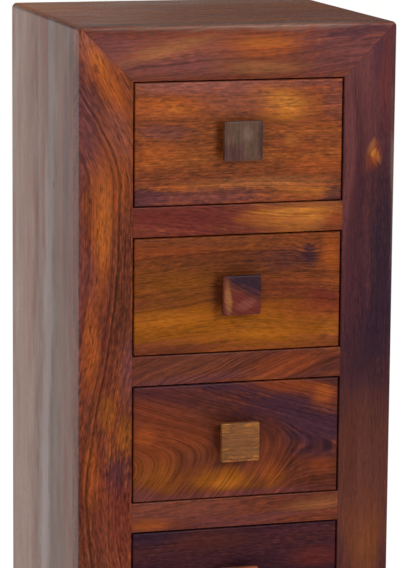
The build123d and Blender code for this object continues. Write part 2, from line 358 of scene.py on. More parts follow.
# %% Colours of the wood and how its grain lies in space
WOOD_RAMP = [
    (0.00, (40, 20, 34)), (0.20, (70, 33, 36)), (0.40, (102, 46, 28)),
    (0.58, (132, 62, 24)), (0.78, (158, 86, 28)), (1.00, (186, 118, 42)),
]
TINTS = {
    "night": (48, 27, 40), "plum": (70, 34, 42), "violet": (64, 34, 46), "mauve": (104, 53, 53),
    "rose": (136, 76, 64), "red": (104, 38, 30), "brown": (106, 54, 34), "cocoa": (92, 48, 38),
    "rust": (124, 54, 22), "orange": (164, 78, 20), "ochre": (142, 77, 5), "gold": (176, 100, 30),
    "amber": (206, 130, 44), "tan": (152, 94, 50), "umber": (84, 38, 24), "honey": (118, 64, 6),
    "grey": (92, 68, 54), "sand": (116, 72, 42), "sap_and_sheen": (150, 118, 102), "mist": (128, 104, 102),
    "ash": (152, 132, 132), "pale": (190, 156, 112), "birch": (204, 176, 134),
}
# Which of x, y, z runs along the grain, across it on the show face, and into the board.
GRAIN = {
    "wide": (0, 2, 1), "tall": (2, 0, 1), "tall_side": (2, 1, 0), "wide_top": (0, 1, 2), "deep": (1, 2, 0),
}
print("tints:", len(TINTS), "grain directions:", len(GRAIN))

# %% [markdown]
# ### The fibres
#
# Noise that is stretched along the grain bends the fibres slowly over a hand's breadth and, more weakly, in
# ripples. Where a saw cuts through the foot of a branch, the layers turn in a soft fold.

# %% The place in the board, bent as its fibres are
NOISE_STEP = (17.3, 7.7, 3.1)
DRIFT_SIZE = (130, 34, 60)
RIPPLE_SIZE = (38, 9, 30)
RIPPLE_SHARE = 0.22
LAYER_LEAN = 0.35
SOFT_TURN = 26.0


def stretched_noise(tree, place, lengths, seed, detail=2.0, roughness=0.55):
    """Noise about 0, whose blobs measure lengths in mm along, across and into the board."""
    where = node(tree, "Mapping", {
        "Vector": place, "Location": [seed * step for step in NOISE_STEP],
        "Scale": [1 / size for size in lengths],
    }).outputs[0]
    made = node(tree, "TexNoise", {
        "Vector": where, "Scale": 1.0, "Detail": detail, "Roughness": roughness,
    })
    return maths(tree, "SUBTRACT", made.outputs[0], 0.5)


def local_place(tree, place, along, across, slant, scale=(1, 1, 1)):
    """place seen from (along, across), turned by slant degrees and divided by scale."""
    return node(tree, "Mapping", {
        "Vector": place, "Location": (along, across, 0), "Rotation": (0, 0, math.radians(slant)),
        "Scale": scale,
    }, vector_type="TEXTURE").outputs[0]


def folded_layers(tree, place, limit, folds):
    """The largest of growth x distance from a slanting line, over all folds, with a soft turn between them.
    A fold is (along, across, slant in degrees, growth). Past limit, the folds after the first take the place
    at the limit instead, so that the layers run along the board again."""
    along, across, _ = node(tree, "SeparateXYZ", {0: place}).outputs
    held = maths(tree, "SMOOTH_MIN", along, limit, SOFT_TURN)
    here = node(tree, "CombineXYZ", {0: held, 1: across}).outputs[0]
    layers = None
    for start, height, slant, growth in folds:
        local = local_place(tree, here if layers else place, start, height, slant)
        beside = node(tree, "SeparateXYZ", {0: local}).outputs[1]
        rising = maths(tree, "MULTIPLY", beside, growth)
        layers = maths(tree, "SMOOTH_MAX", layers, rising, SOFT_TURN) if layers else rising
    return layers


def fibre_place(tree, grain, tilt, wander, seed, folds=()):
    """Three results: the plain place in the board's own directions, the place bent sideways as its fibres
    are, and the distance across the layers, all in mm. tilt is the angle in degrees between the fibres and
    the board's edge, wander their slow drift in mm. The layers lean as they go into the board."""
    place = node(tree, "TexCoord").outputs["Object"]
    scaled = node(tree, "VectorMath", {0: place, "Scale": 1 / MM}, operation="SCALE").outputs[0]
    split = node(tree, "SeparateXYZ", {0: scaled}).outputs
    along, across, deep = (split[axis] for axis in GRAIN[grain])
    flat = node(tree, "CombineXYZ", {0: along, 1: across, 2: deep}).outputs[0]
    drift = stretched_noise(tree, flat, DRIFT_SIZE, seed, 1.0)
    ripple = stretched_noise(tree, flat, RIPPLE_SIZE, seed + 2, 2.0)
    small = maths(tree, "MULTIPLY", ripple, wander * RIPPLE_SHARE)
    bent = maths(tree, "ADD", across, maths(tree, "MULTIPLY_ADD", drift, wander, small))
    where = node(tree, "CombineXYZ", {0: along, 1: bent, 2: deep}).outputs[0]
    if folds:
        layers = folded_layers(tree, where, *folds)
    else:
        layers = maths(tree, "MULTIPLY_ADD", along, -math.tan(math.radians(tilt)), bent)
    behind_front = maths(tree, "SUBTRACT", deep, FRONT / MM)
    return flat, where, maths(tree, "MULTIPLY_ADD", behind_front, LAYER_LEAN, layers)


print("fibres drift over", DRIFT_SIZE[0], "mm")

# %% [markdown]
# ### Bands, lines and spots
#
# A tree's layers are uneven, but each is the same along its whole length. So the bands are noise along a
# single line, the distance across the layers, with a thin dark line where it passes its middle. Colours that
# cover only a part of a board are spots: ellipses with ragged rims.

# %% Bands, lines and spots
BAND_STEP = 13.7
THROUGH_THE_BOARD = 4000


def bands(tree, across, spacing, seed, detail=2.0):
    """Noise about 0 along a single line: uneven layers about spacing mm wide."""
    made = node(tree, "TexNoise", {
        "W": maths(tree, "MULTIPLY_ADD", across, 1 / spacing, seed * BAND_STEP),
        "Scale": 1.0, "Detail": detail, "Roughness": 0.6,
    }, noise_dimensions="1D")
    return maths(tree, "SUBTRACT", made.outputs[0], 0.5)


def dark_lines(tree, layers, width):
    """1 where the layers' value passes 0, falling to 0 on both sides: thin lines at uneven spacings."""
    return soft_step(tree, maths(tree, "ABSOLUTE", layers), 0.0, width, 1.0, 0.0)


def around(tree, place, along, across, length, width, slant=0):
    """0 in the middle of a spot and 1 on its rim: the length of the place divided by the half sizes. The
    numbers are the spot's centre, its half length and half width in mm, and its slant in degrees."""
    local = local_place(tree, place, along, across, slant, (length, width, THROUGH_THE_BOARD))
    return node(tree, "VectorMath", {0: local}, operation="LENGTH").outputs["Value"]


print("the bands of one seed and the next lie", BAND_STEP, "layers apart")

# %% [markdown]
# ### Mixing the figure
#
# One board is mixed from eight patterns, from bands as wide as a thumb to pores as fine as a pencil line,
# with weights given for each. Bands and flecks give the brightness, spots the tint, and fibres and pores the
# bump under the lacquer.

# %% The patterns of a board
BROAD_BANDS = 3.4
FINE_BANDS = 0.24


def board_patterns(tree, flat, where, across, spacing, seed):
    """The patterns of one board: noise about 0, and pores from 0 to 1."""
    along, _, deep = node(tree, "SeparateXYZ", {0: where}).outputs
    streaks = node(tree, "CombineXYZ", {0: along, 1: across, 2: deep}).outputs[0]
    pores = stretched_noise(tree, flat, (8.0, 0.42, 0.42), seed + 9, 1.0)
    return {
        "broad": bands(tree, across, spacing * BROAD_BANDS, seed, 1.0),
        "middle": bands(tree, across, spacing, seed + 1),
        "fine": bands(tree, across, spacing * FINE_BANDS, seed + 2),
        "fade": stretched_noise(tree, where, (60, 16, 30), seed + 5),
        "flames": stretched_noise(tree, streaks, (24, 2.2, 8), seed + 8, 3.0, 0.65),
        "flecks": stretched_noise(tree, streaks, (7, 1.8, 3), seed + 6, 2.0, 0.6),
        "fibres": stretched_noise(tree, streaks, (16, 0.8, 0.8), seed + 7, 3.0, 0.6),
        "pores": soft_step(tree, pores, 0.13, 0.2),
    }


print("layers of 7 mm get bands of", round(7 * BROAD_BANDS, 1), "mm and", round(7 * FINE_BANDS, 1), "mm too")

# %% The colour of a board
LINE_WIDTH = 0.035
RIM = (0.35, 1.35)


def heartwood(tree, level):
    """The colour of the wood at a level between dark heartwood, 0, and gold, 1."""
    ramp = node(tree, "ValToRGB", {0: level})
    ramp.color_ramp.interpolation = "B_SPLINE"
    stops = ramp.color_ramp.elements
    while len(stops) < len(WOOD_RAMP):
        stops.new(0.5)
    for stop, (position, tint) in zip(stops, WOOD_RAMP):
        stop.position = position
        stop.color = linear(*tint)
    return ramp.outputs[0]


def tinted(tree, colour, where, patterns, zones):
    """colour with each zone's tint laid over it, full in the zone's middle and gone past its ragged rim."""
    ragged = add_up(tree, patterns["fade"], patterns, {"middle": 0.5, "flames": 1.5, "flecks": 0.9})
    for tint, strength, *spot in zones:
        rim = maths(tree, "ADD", around(tree, where, *spot), ragged)
        colour = blend(tree, soft_step(tree, rim, *RIM, strength, 0.0), colour, linear(*TINTS[tint]))
    return colour


def dark_layers(tree, across, patterns, lines, veins):
    """How dark the thin lines are: those that the bands give, patchy as real ones are, and single veins."""
    patchy = soft_step(tree, patterns["fade"], -0.22, 0.12)
    thin = dark_lines(tree, patterns["middle"], LINE_WIDTH)
    ink = maths(tree, "MULTIPLY", thin, maths(tree, "MULTIPLY", patchy, lines))
    for place, width, strength in veins:
        beside = maths(tree, "ABSOLUTE", maths(tree, "SUBTRACT", across, place))
        ink = maths(tree, "MAXIMUM", ink, soft_step(tree, beside, 0.2 * width, width, strength, 0.0))
    return ink


print("darkest and brightest wood:", WOOD_RAMP[0][1], WOOD_RAMP[-1][1])

# %% The rosewood material
PORE_DEPTH = 0.12 * MM
PORE_SHADE = 0.35
LINE_SHADE = 0.62


def rosewood(board, grain, tone, seed, tilt=0.0, wander=16.0, contrast=1.0, lines=0.5, gloss=0.28, shine=0.17,
             spacing=7.0, mottle=0.9, branches=(), folds=(), zones=(), veins=()):
    """The finish of one board. tone places it between dark heartwood, 0, and gold, 1. branches are spots
    behind a height in mm, by which they shift the layers, and folds is what folded_layers takes. zones are
    spots behind a tint and its strength. veins are single dark layers: (across in mm, width, strength)."""
    material, tree = new_material("rosewood_" + board)
    flat, where, across = fibre_place(tree, grain, tilt, wander, seed, folds)
    for height, *spot in branches:
        push = soft_step(tree, around(tree, where, *spot), 0.0, 1.0, height, 0.0)
        across = maths(tree, "ADD", across, push)
    patterns = board_patterns(tree, flat, where, across, spacing, seed)

    level = add_up(tree, tone, patterns, {"broad": 0.45 * contrast, "fade": 0.35 * contrast, "flecks": 0.25})
    colour = tinted(tree, heartwood(tree, level), where, patterns, zones)
    light = add_up(tree, 1.0, patterns, {
        "middle": 0.8 * contrast, "fine": 0.9 * contrast,
        "flames": 0.6 * mottle, "flecks": mottle, "fibres": 0.6,
    })
    ink = dark_layers(tree, across, patterns, lines, veins)
    light = maths(tree, "MULTIPLY", light, maths(tree, "MULTIPLY_ADD", ink, -LINE_SHADE, 1.0))
    shade = maths(tree, "MULTIPLY_ADD", patterns["pores"], -PORE_SHADE, 1.0)
    colour = shaded(tree, colour, maths(tree, "MULTIPLY", light, shade))

    relief = add_up(tree, 0.0, patterns, {"fibres": 0.8, "pores": -1.0})
    bump = node(tree, "Bump", {"Strength": 0.35, "Distance": PORE_DEPTH, "Height": relief}).outputs[0]
    rough = add_up(tree, gloss, patterns, {"fade": 0.25, "fibres": 0.25})
    surface_of(tree, node(tree, "BsdfPrincipled", {
        "Base Color": colour, "Roughness": rough, "Specular IOR Level": shine, "Normal": bump,
    }))
    return material


print("pores under the lacquer are", round(PORE_DEPTH / MM, 2), "mm deep")

# %% [markdown]
# ## The boards of the face frame
#
# Spots are given along the grain first, then across it: for an upright board that is the height and then the
# distance from the middle, for a level one the other way round.
#
# The left stile is the liveliest board of the frame, with long dark veins. The right one is nearly all dark
# heartwood, but for a small golden knot.

# %% Rosewood of the face frame
frame_wood = {
    "top_rail": rosewood("top_rail", "wide", 0.42, 3, tilt=4, contrast=0.55, mottle=1.1, zones=[
        ("mauve", 0.8, -126, 742, 34, 20), ("rose", 0.5, -60, 736, 70, 22, 6),
        ("tan", 0.6, -66, 741, 44, 8, 16), ("orange", 0.6, 30, 742, 44, 13, 2),
        ("gold", 0.35, 26, 746, 28, 7, 2), ("mauve", 0.9, 108, 740, 60, 34), ("violet", 0.6, 112, 752, 34, 9),
        # The light band along the top edge, at 766 mm, is a painted highlight on the rounded front edge of
        # the top.
        ("mauve", 0.6, -60, 724, 50, 7), ("tan", 0.5, 20, 724, 46, 7), ("sap_and_sheen", 0.5, 0, 766, 400, 7)],
        veins=[(731, 1.4, 0.3), (750, 1.2, 0.25)]),
    "bottom_rail": rosewood("bottom_rail", "wide", 0.42, 4, tilt=-2,
        zones=[("plum", 0.7, -90, 20, 60, 14, 3), ("orange", 0.6, 30, 34, 60, 9, -3)]),
    "stile_left": rosewood("stile_left", "tall", 0.44, 5, wander=8, contrast=0.7, mottle=1.9,
        branches=[(57, 765, -125, 150, 900), (30, 330, -125, 230, 900)], zones=[
        ("rose", 0.75, 748, -136, 24, 26), ("mauve", 0.9, 680, -146, 64, 18, -10),
        ("umber", 0.5, 690, -128, 40, 5, -30), ("orange", 0.85, 716, -126, 40, 10, -29),
        ("gold", 0.3, 732, -134, 16, 6, -29), ("umber", 0.6, 724, -135, 6, 2.5, -20),
        ("umber", 0.6, 711, -139, 7, 3, -30), ("rose", 0.4, 665, -116, 34, 14, -20),
        ("orange", 0.45, 622, -112, 30, 9), ("orange", 0.6, 590, -128, 80, 12),
        ("gold", 0.3, 585, -127, 44, 8), ("mauve", 0.5, 538, -142, 32, 9), ("orange", 0.5, 468, -139, 46, 9),
        ("umber", 0.6, 500, -110, 80, 12), ("red", 0.4, 460, -124, 60, 8), ("mauve", 0.75, 447, -104, 34, 10),
        ("ochre", 0.5, 410, -124, 18, 9), ("ochre", 0.55, 387, -107, 20, 8), ("plum", 0.9, 352, -114, 22, 14),
        ("red", 0.6, 300, -118, 60, 32), ("brown", 0.5, 260, -130, 70, 20),
        ("orange", 0.45, 352, -139, 40, 8, -4), ("mauve", 0.5, 560, -150, 140, 5)],
        veins=[(-113, 2.2, 0.85), (-119, 1.6, 0.7), (-106, 1.4, 0.45), (-141, 2.2, 0.5), (-125, 1.0, 0.4)]),
    "stile_right": rosewood("stile_right", "tall", 0.16, 6, contrast=0.5, lines=0.3, mottle=0.7,
        branches=[(6, 638, 127, 19, 14)], zones=[
        ("mauve", 0.75, 742, 122, 46, 36), ("mauve", 0.5, 685, 130, 60, 24),
        ("violet", 0.6, 731, 138, 28, 12), ("red", 0.5, 700, 142, 70, 5), ("mauve", 0.75, 640, 102, 160, 7),
        ("plum", 0.6, 650, 140, 50, 8), ("plum", 0.8, 520, 117, 110, 18), ("night", 0.4, 425, 116, 22, 12),
        ("night", 0.95, 520, 140, 120, 20), ("night", 0.6, 450, 125, 40, 22),
        ("rust", 0.75, 639, 127, 14, 8, 12), ("tan", 0.5, 647, 125, 9, 3, 24),
        ("gold", 0.5, 638, 130, 8, 4, -20), ("amber", 0.5, 641, 127, 4, 2, 30),
        ("mist", 0.4, 600, 149, 90, 4), ("cocoa", 0.95, 330, 123, 94, 50), ("umber", 0.5, 365, 112, 50, 12),
        ("brown", 0.6, 280, 130, 46, 24), ("ochre", 0.3, 266, 128, 34, 14),
        ("brown", 0.8, 150, 123, 120, 36)]),
}
print("boards:", list(frame_wood))

# %% [markdown]
# The divider rails are short offcuts. In the second one the grain runs uphill, so its dark layers show as
# slanting stripes.

# %% Rosewood of the divider rails
divider_wood = [
    rosewood("divider_1", "wide", 0.35, 11, tilt=-7, contrast=0.7, mottle=1.2, zones=[
        ("red", 0.85, -66, 584, 90, 26), ("gold", 0.72, 60, 587, 50, 17), ("amber", 0.4, 52, 592, 36, 4, 2),
        ("amber", 0.25, 72, 583, 20, 3), ("rust", 0.8, 94, 578, 14, 12), ("orange", 0.15, 14, 588, 16, 12)]),
    rosewood("divider_2", "wide", 0.38, 12, tilt=20, lines=0.7, zones=[
        ("brown", 0.6, -40, 450, 60, 14, 8), ("mauve", 0.7, -40, 437, 70, 5, 4),
        ("rust", 0.75, 46, 446, 40, 11, 10), ("umber", 0.6, 90, 450, 18, 14)], veins=[
        (478, 1.2, 0.5), (470, 1.2, 0.6), (461, 1.0, 0.6), (452, 1.2, 0.5), (444, 1.0, 0.6), (435, 1.2, 0.5),
        (426, 1.0, 0.5), (417, 1.2, 0.5)]),
    rosewood("divider_3", "wide", 0.37, 13, tilt=4, contrast=0.7, zones=[
        ("rose", 0.25, -60, 316, 80, 9), ("orange", 0.5, -84, 303, 22, 7, 5),
        ("tan", 0.45, 80, 313, 38, 7, 5), ("mauve", 0.5, 10, 304, 60, 6)]),
    rosewood("divider_4", "wide", 0.4, 14, tilt=-4, zones=[("orange", 0.5, 20, 172, 50, 8, -5)]),
]
print("divider rails:", len(divider_wood))

# %% [markdown]
# ## The drawer fronts
#
# Each front is a single wide board, and the maker chose the liveliest wood for them. The third one is cut
# through the foot of a branch: its layers come down from the upper left, turn in arches, one inside the
# other, and run back under the knob. The fourth is dark heartwood from edge to edge. Small dark spots just
# left of and below the first three knobs, and right of the third, are painted shadow of the knobs.

# %% Rosewood of the drawer fronts
front_wood = [
    rosewood("front_1", "wide", 0.53, 21, wander=9, contrast=0.6, spacing=5, mottle=1.7, zones=[
        ("mauve", 0.35, 0, 710, 110, 12), ("rose", 0.75, -40, 708, 84, 10), ("orange", 0.6, -68, 688, 44, 10),
        ("gold", 0.3, -62, 686, 14, 6), ("gold", 0.8, 42, 691, 30, 17, -12),
        # The two umber spots left of and just below the knob, at 656 and 637 mm, are painted shadow of the
        # knob.
        ("amber", 0.35, 44, 692, 16, 9, -12), ("umber", 0.7, -20, 656, 5, 20), ("umber", 0.6, -4, 637, 18, 4),
        ("orange", 0.4, 74, 668, 20, 9), ("mauve", 0.85, -70, 666, 30, 8), ("honey", 0.3, 0, 655, 130, 40),
        ("orange", 0.45, -82, 646, 32, 13), ("umber", 0.35, -96, 647, 5, 14), ("rust", 0.5, 53, 646, 26, 9),
        ("rose", 0.4, -4, 692, 40, 12), ("gold", 0.4, 50, 655, 8, 8), ("orange", 0.4, 76, 630, 26, 10),
        ("tan", 0.5, 20, 616, 80, 6), ("gold", 0.6, 70, 609, 32, 6), ("plum", 0.9, -92, 605, 22, 14),
        ("mauve", 0.7, -30, 605, 70, 8), ("plum", 0.7, 94, 606, 16, 11), ("mauve", 0.5, 92, 690, 14, 16),
        ("mauve", 0.4, 72, 709, 44, 6)],
        veins=[(629, 0.8, 0.4), (617, 0.9, 0.45), (609, 0.8, 0.4), (673, 0.8, 0.3)]),
    rosewood("front_2", "wide", 0.45, 22, tilt=1, wander=12, contrast=0.5, spacing=6, mottle=1.2, shine=0.1,
        branches=[(5, 70, 552, 22, 17), (-9, 0, 512, 150, 90)], zones=[
        ("honey", 0.45, 0, 535, 140, 60), ("brown", 0.5, -50, 564, 90, 5), ("rust", 0.6, -60, 556, 50, 8),
        ("umber", 0.5, 0, 546, 90, 14, 2), ("plum", 0.5, 44, 547, 34, 14), ("night", 0.75, 68, 551, 10, 13),
        ("orange", 0.6, 90, 548, 10, 22), ("honey", 0.5, -62, 526, 62, 18), ("red", 0.4, 50, 522, 50, 12),
        ("ochre", 0.85, -56, 487, 78, 21), ("ochre", 0.85, 24, 482, 84, 20), ("ochre", 0.35, 80, 480, 24, 10),
        ("gold", 0.25, -66, 494, 38, 9), ("gold", 0.2, 20, 481, 40, 9), ("gold", 0.4, 90, 478, 9, 9),
        ("red", 0.75, 84, 506, 20, 10, -5), ("rust", 0.5, 70, 498, 34, 9), ("umber", 0.6, -60, 465, 50, 5, 4),
        # The umber spots left of and just below the knob, at 517 and 496 mm, are painted shadow of the knob.
        ("umber", 0.6, 85, 474, 6, 3), ("umber", 0.7, -20, 517, 5, 21), ("umber", 0.5, -2, 496, 18, 3)],
        veins=[
        (502, 1.5, 0.55), (550, 1.2, 0.5), (538, 1.0, 0.4), (524, 0.9, 0.4), (514, 0.9, 0.35),
        (476, 1.0, 0.35), (484, 0.8, 0.25)]),
    rosewood("front_3", "wide", 0.32, 23, shine=0.1, wander=7, spacing=4.5, contrast=1.1, lines=0.6,
        mottle=0.8, folds=(54, [(0, 405.5, -17, 1.0), (48, 360, -106, 0.5), (42, 338, -142, 0.75)]), zones=[
        ("honey", 0.25, -40, 360, 90, 40), ("rust", 0.65, -70, 380, 44, 40),
        ("umber", 0.4, -46, 396, 34, 14, -14), ("ochre", 0.4, -70, 348, 34, 18),
        ("umber", 0.5, -50, 358, 16, 18), ("orange", 0.4, -88, 384, 10, 10), ("ochre", 0.8, -10, 340, 34, 12),
        ("gold", 0.35, -12, 337, 14, 6), ("ochre", 0.5, 36, 340, 14, 9, 30), ("orange", 0.5, 32, 348, 16, 12),
        ("rust", 0.5, 34, 368, 14, 26), ("umber", 0.8, 80, 350, 40, 28), ("violet", 0.8, 80, 374, 34, 17, -6),
        ("rust", 0.6, 82, 350, 14, 9), ("umber", 0.7, -10, 412, 40, 12, -12),
        ("plum", 0.5, -40, 420, 70, 10, -12), ("violet", 0.8, -20, 431, 90, 8, -8),
        ("violet", 0.95, 66, 396, 66, 20, -20), ("rust", 0.8, 50, 427, 44, 8, -8),
        # The umber spots left of, below and right of the knob, at 381, 358 and 386 mm, are painted shadow and
        # shade of the knob.
        ("orange", 0.6, 84, 416, 12, 11), ("mauve", 0.6, -92, 331, 18, 7), ("umber", 0.6, -23, 381, 6, 24),
        ("umber", 0.5, 6, 358, 18, 3.5), ("red", 0.45, 0, 361, 22, 5), ("rust", 0.4, -38, 380, 16, 10),
        ("umber", 0.6, 33, 386, 12, 14), ("mauve", 0.5, 0, 327, 110, 4)]),
    rosewood("front_4", "wide", 0.12, 24, shine=0.08, contrast=0.5, lines=0.3, zones=[
        ("night", 0.85, -78, 291, 34, 10), ("umber", 0.4, -30, 284, 40, 12), ("red", 0.5, 80, 262, 28, 9),
        ("umber", 0.6, 20, 225, 80, 22, 4)]),
    rosewood("front_5", "wide", 0.44, 25, tilt=3, branches=[(40, -45, 95, 50, 40)], zones=[
        ("plum", 0.8, 50, 140, 70, 16, 6), ("orange", 0.6, -40, 92, 40, 20),
        ("ochre", 0.5, 60, 74, 40, 12)]),
]
for number, wood in zip(DRAWERS, front_wood):
    NODES[f"drawer_{number}_front"].material_slots[0].material = wood
print("drawer fronts:", len(front_wood))

# %% [markdown]
# ## The boards of the case
#
# The side, top and bottom boards are plainer than the front. Their grain runs upwards in the sides and
# across in the top and bottom, as it has to where they meet in a mitre. The left side is greyer towards the
# back, laid on as long, thin spots: partly streaks of sapwood, partly a painted sheen that stands in for the
# glancing reflection of the bright floor behind it.

# %% Rosewood of the case
case_wood = {
    "side_board_left": rosewood("side_left", "tall_side", 0.46, 31, contrast=0.6, lines=0.3, wander=8,
        shine=0.45, gloss=0.34, mottle=0.5, zones=[
        # The pale grey, mist, ash and sap zones make this side greyer towards the back: partly sapwood
        # streaks, partly painted sheen for the reflection of the floor behind it.
        ("brown", 0.7, 420, -92, 900, 26), ("grey", 0.7, 420, -60, 900, 26),
        ("mauve", 0.6, 600, -88, 130, 18), ("rose", 0.6, 620, -60, 150, 16), ("grey", 0.8, 420, -30, 900, 24),
        ("mist", 0.9, 470, -12, 420, 18, -3), ("grey", 0.7, 360, 20, 220, 14, -2),
        ("sap_and_sheen", 0.8, 420, 90, 900, 60), ("sand", 0.5, 690, 62, 80, 16), ("rose", 0.5, 560, 60, 130, 11),
        ("mist", 0.4, 620, 70, 140, 7), ("tan", 0.4, 600, 96, 150, 10), ("rose", 0.35, 400, -76, 160, 12),
        ("ash", 0.45, 330, -4, 300, 17, -2), ("plum", 0.6, 632, -80, 70, 15),
        ("night", 0.75, 738, -108, 44, 16), ("umber", 0.5, 560, -80, 160, 10),
        ("ash", 0.4, 640, 112, 220, 12), ("ash", 0.3, 620, 15, 180, 9, 1), ("ash", 0.4, 300, 12, 50, 26),
        ("night", 0.8, 608, -36, 3, 4)]),
    "side_board_right": rosewood("side_right", "tall_side", 0.46, 32, contrast=0.7, lines=0.4, wander=14,
        shine=0.4, branches=[(50, 470, 30, 170, 52, 3)]),
    "top_board": rosewood("top", "wide_top", 0.64, 33, contrast=0.6, lines=0.3, wander=12, shine=0.3, zones=[
        ("orange", 0.6, -128, 40, 56, 110), ("gold", 0.85, -130, 92, 46, 54), ("tan", 0.6, -50, 104, 90, 36),
        ("rust", 0.3, -110, -60, 90, 60), ("red", 0.35, 100, -40, 110, 70), ("sap_and_sheen", 0.5, 40, 98, 90, 24),
        ("sap_and_sheen", 0.35, -10, 96, 40, 20)]),
    "bottom_board": rosewood("bottom", "wide_top", 0.4, 34, contrast=0.6),
}
print("boards:", list(case_wood))

# %% [markdown]
# ## Sections of the boards
#
# Seen end-on, a stile is a rectangle with a well-rounded outer edge in front and a barely broken inner edge.
# The inner edge is only sanded along the openings: where a divider rail meets the stile the two are flush, so
# there the rounding fades away.

# %% The section of a board with a rounded front
OPENING_ARRIS = 1.1 * MM
FLUSH_ARRIS = 0.3 * MM
ARC = np.linspace(0, np.pi / 2, 8)
ACROSS_FACE = np.linspace(0, 1, 22)[1:-1]


def rows_of(*parts):
    """Parts of a section, each a number, a row or a block with one row per ring, laid side by side."""
    count = max(np.shape(part)[0] for part in parts if np.ndim(part) == 2)
    blocks = [np.atleast_2d(part) for part in parts]
    return np.concatenate([np.broadcast_to(block, (count, block.shape[1])) for block in blocks], axis=1)


def front_section(width, first, last):
    """(inset, y) of a board with rounded front edges, counted from the first edge to the last. They follow
    radius x (1 - cos t) and radius x (1 - sin t); first and last hold one radius per ring."""
    first, last = first[:, None], last[:, None]
    face = first + (width - last - first) * ACROSS_FACE
    inset = rows_of(0.0, first * (1 - np.cos(ARC)), face, width - last * (1 - np.sin(ARC)), width)
    y = rows_of(FRAME_BACK, FRONT + first * (1 - np.sin(ARC)), np.full_like(face, FRONT),
                FRONT + last * (1 - np.cos(ARC)), FRAME_BACK)
    return inset, y


print("points on a rounding:", len(ARC))

# %% [markdown]
# ## Mitres
#
# The four boards of the frame meet like a picture frame, cut at 45 degrees, and so do the four boards of the
# case behind it. The mitre runs to the rounded corner of the case. So each board is carried from diagonal to
# diagonal, and near its ends its outer face bends with the corner. At each end the section draws in by a
# third of a millimetre, which leaves the fine groove that shows where two boards meet.

# %% Where the rings of a board lie
RING_GAP = 5 * MM
NEAR_END = np.concatenate([[0, 0.05, 0.12, 0.2, 0.3, 0.45, 0.7, 1.2], np.arange(1.8, 7, 0.6)]) * MM
NEAR_MARK = np.linspace(-1.6, 1.6, 9) * MM


def steps_along(length, marks=()):
    """Places of the rings between 0 and length: close together at both ends and at marks, wider between."""
    at_marks = [mark + NEAR_MARK for mark in marks]
    plain = np.linspace(0, length, int(length / RING_GAP))
    return np.unique(np.concatenate([NEAR_END, length - NEAR_END, *at_marks, plain]).round(6))


def side_length(side):
    """The length of one side of the case's outline."""
    return HEIGHT if side in ("left", "right") else 2 * HALF_WIDTH


print("rings along a rail:", len(steps_along(side_length("top"))))

# %% Bend a section round the corners, and ease its ends
EASE = 0.3 * MM


def corner_bend(inset, along):
    """The inset of a point near a rounded corner: it lies on a circle about the corner's centre,
    so inset = R - sqrt((R - inset)^2 - (R - along)^2), and beyond R it stays as it was."""
    left = np.maximum(CORNER_RADIUS - inset, 0)
    bent = CORNER_RADIUS - np.sqrt(np.maximum(left ** 2 - np.maximum(CORNER_RADIUS - along, 0) ** 2, 0))
    return np.where(inset < CORNER_RADIUS, bent, inset)


def ease_ends(inset, y, from_end, width, front, back):
    """Draws a section in near its ends by the quarter circle e - sqrt(e^2 - (e - distance)^2)."""
    left = np.clip(EASE - from_end, 0, EASE)
    shrink = (EASE - np.sqrt(EASE ** 2 - left ** 2))[:, None]
    return np.clip(inset, shrink, width - shrink), np.clip(y, front + shrink, back - shrink)


print("at the very end of a board its outer face lies", round(float(corner_bend(0, 0)) / MM, 1), "mm in")

# %% Carry a section from corner to corner
def lay(side, inset, along, y):
    """Places (inset, along) on one side of the case: along runs upwards or to the right."""
    x, z = {
        "left": (-HALF_WIDTH + inset, along),
        "right": (HALF_WIDTH - inset, along),
        "top": (-HALF_WIDTH + along, HEIGHT - inset),
        "bottom": (-HALF_WIDTH + along, inset),
    }[side]
    return np.stack([x, y, z], axis=-1)


def mitred_board(side, inset, y, share):
    """Rings of a board from one corner's diagonal to the other's. A point's way along goes
    from m to length - m, where m is its own inset, or R - (R - inset) / sqrt 2 inside the rounded corner."""
    length = side_length(side)
    mitre = np.where(inset < CORNER_RADIUS, CORNER_RADIUS - (CORNER_RADIUS - inset) / math.sqrt(2), inset)
    along = mitre + share[:, None] * (length - 2 * mitre)
    inset = corner_bend(inset, np.minimum(along, length - along))
    return lay(side, inset, along, y)


print("the top side starts at", lay("top", 0, 0, FRONT).round(4).tolist())

# %% [markdown]
# ## The face frame
#
# A hand plane leaves no edge quite even and no face quite flat. So the roundings vary a little along the four
# boards, and the front waves by less than a tenth of a millimetre, always inwards.

# %% Marks of the hand plane
FADE_LENGTH = 1.5 * MM
FACE_DEPTH = 2 * MM
WAVE = 0.02 * MM


def smooth(value):
    """Goes from 0 to 1 with level ends: 3 v^2 - 2 v^3."""
    value = np.clip(value, 0, 1)
    return value * value * (3 - 2 * value)


def opening_radius(height):
    """The stile's inner rounding at a height: full inside an opening, nearly none at a rail."""
    inside = sum(smooth((height - low) / FADE_LENGTH) * smooth((high - height) / FADE_LENGTH)
                 for low, high in OPENINGS)
    return FLUSH_ARRIS + (OPENING_ARRIS - FLUSH_ARRIS) * inside


def plane_face(rings, seed):
    """Moves the points of a front face inwards by crossed sine waves, from 0 to 4 x WAVE."""
    x, y, z = np.moveaxis(rings, -1, 0)
    waves = np.sin(31 * x + 17 * z + seed) + np.sin(-13 * x + 43 * z + 2.1 * seed)
    rings[..., 1] += np.where(y < FRONT + FACE_DEPTH, WAVE * (2 + waves), 0)


print("inner rounding halfway up drawer 1:", round(opening_radius(sum(OPENINGS[0]) / 2) / MM, 2), "mm")

# %% The four boards of the face frame
HAND = 0.06


